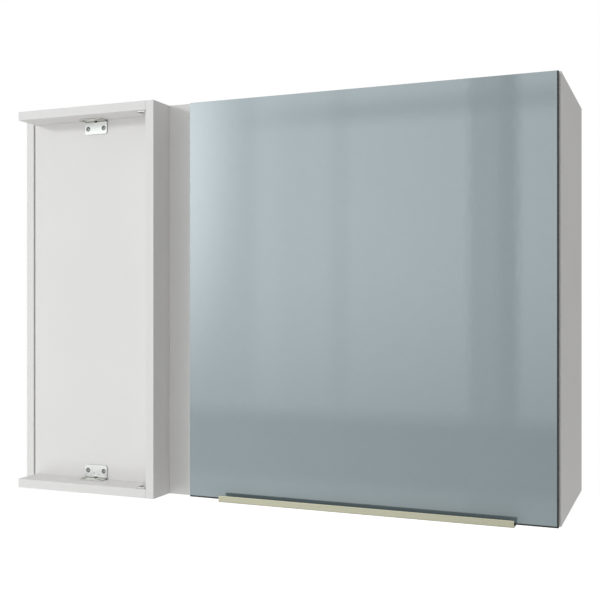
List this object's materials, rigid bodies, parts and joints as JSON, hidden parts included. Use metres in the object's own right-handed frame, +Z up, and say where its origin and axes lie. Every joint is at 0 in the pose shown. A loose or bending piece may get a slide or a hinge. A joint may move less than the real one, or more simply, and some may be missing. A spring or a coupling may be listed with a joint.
{
  "type": "corner wall cabinet",
  "caption": "Blind corner wall cabinet: white carcass, open corner frame on angle brackets, one gloss door on concealed hinges with a handle profile under it.",
  "frame": {"origin": "middle of the bottom panel's back edge, on the wall plane", "axes": "+X to the right seen from the front, +Y into the wall, +Z up"},
  "size_m": [0.944, 0.342, 0.66],
  "materials": {
    "board_white": "satin white melamine on chipboard",
    "back_white": "white coated hardboard",
    "joiner_white": "satin",
    "door_gloss": "high-gloss blue-grey coating on fibreboard",
    "handle_champagne": "fine brushed, champagne anodised",
    "zinc_plated": "bright zinc plate",
    "hinge_nickel": "nickel plate",
    "hanger_white": "satin",
    "bumper_clear": "clear soft plastic"
  },
  "bodies": {
    "cabinet": {"left_side": "board_white", "right_side": "board_white", "top_panel": "board_white", "bottom_panel": "board_white", "blind_panel": "board_white", "shelf": "board_white", "frame_top_board": "board_white", "frame_bottom_board": "board_white", "frame_side_board": "board_white", "back_panel_left": "back_white", "back_panel_right": "back_white", "back_joiner": "joiner_white", "shelf_pin_front_left": "zinc_plated", "shelf_pin_front_right": "zinc_plated", "shelf_pin_back_left": "zinc_plated", "shelf_pin_back_right": "zinc_plated", "bracket_upper_middle": "zinc_plated", "bracket_lower_middle": "zinc_plated", "bracket_upper_corner": "zinc_plated", "bracket_lower_corner": "zinc_plated", "screw_upper_middle_1": "zinc_plated", "screw_upper_middle_2": "zinc_plated", "screw_upper_middle_3": "zinc_plated", "screw_upper_middle_4": "zinc_plated", "screw_lower_middle_1": "zinc_plated", "screw_lower_middle_2": "zinc_plated", "screw_lower_middle_3": "zinc_plated", "screw_lower_middle_4": "zinc_plated", "screw_upper_corner_1": "zinc_plated", "screw_upper_corner_2": "zinc_plated", "screw_upper_corner_3": "zinc_plated", "screw_upper_corner_4": "zinc_plated", "screw_lower_corner_1": "zinc_plated", "screw_lower_corner_2": "zinc_plated", "screw_lower_corner_3": "zinc_plated", "screw_lower_corner_4": "zinc_plated", "hanger_case_left": "hanger_white", "hanger_hook_left": "zinc_plated", "hanger_case_right": "hanger_white", "hanger_hook_right": "zinc_plated", "door_bumper_upper": "bumper_clear", "hinge_plate_upper": "hinge_nickel", "hinge_arm_upper": "hinge_nickel", "hinge_arm_pin_upper": "hinge_nickel", "door_bumper_lower": "bumper_clear", "hinge_plate_lower": "hinge_nickel", "hinge_arm_lower": "hinge_nickel", "hinge_arm_pin_lower": "hinge_nickel"},
    "door": {"door_panel": "door_gloss", "handle_profile": "handle_champagne", "handle_screw_1": "zinc_plated", "handle_screw_2": "zinc_plated", "handle_screw_3": "zinc_plated", "hinge_cup_upper": "hinge_nickel", "hinge_cup_pin_upper": "hinge_nickel", "hinge_cup_lower": "hinge_nickel", "hinge_cup_pin_lower": "hinge_nickel"},
    "hinge_links": {"hinge_link_upper": "hinge_nickel", "hinge_link_lower": "hinge_nickel"}
  },
  "joints": [
    {"name": "door_swing", "type": "hinge", "parent": "cabinet", "child": "door", "pos_m": [0.466, -0.297, 0.3225], "axis": [0, 0, 1], "range_deg": [0, 95]},
    {"name": "hinge_link_turn", "type": "hinge", "parent": "cabinet", "child": "hinge_links", "pos_m": [0.46222, -0.30113, 0.3225], "axis": [0, 0, 1], "range_deg": [0, 125.5]}
  ],
  "couplings": [
    {"joint": "hinge_link_turn", "follows": "door_swing", "ratio": 1.3196}
  ]
}
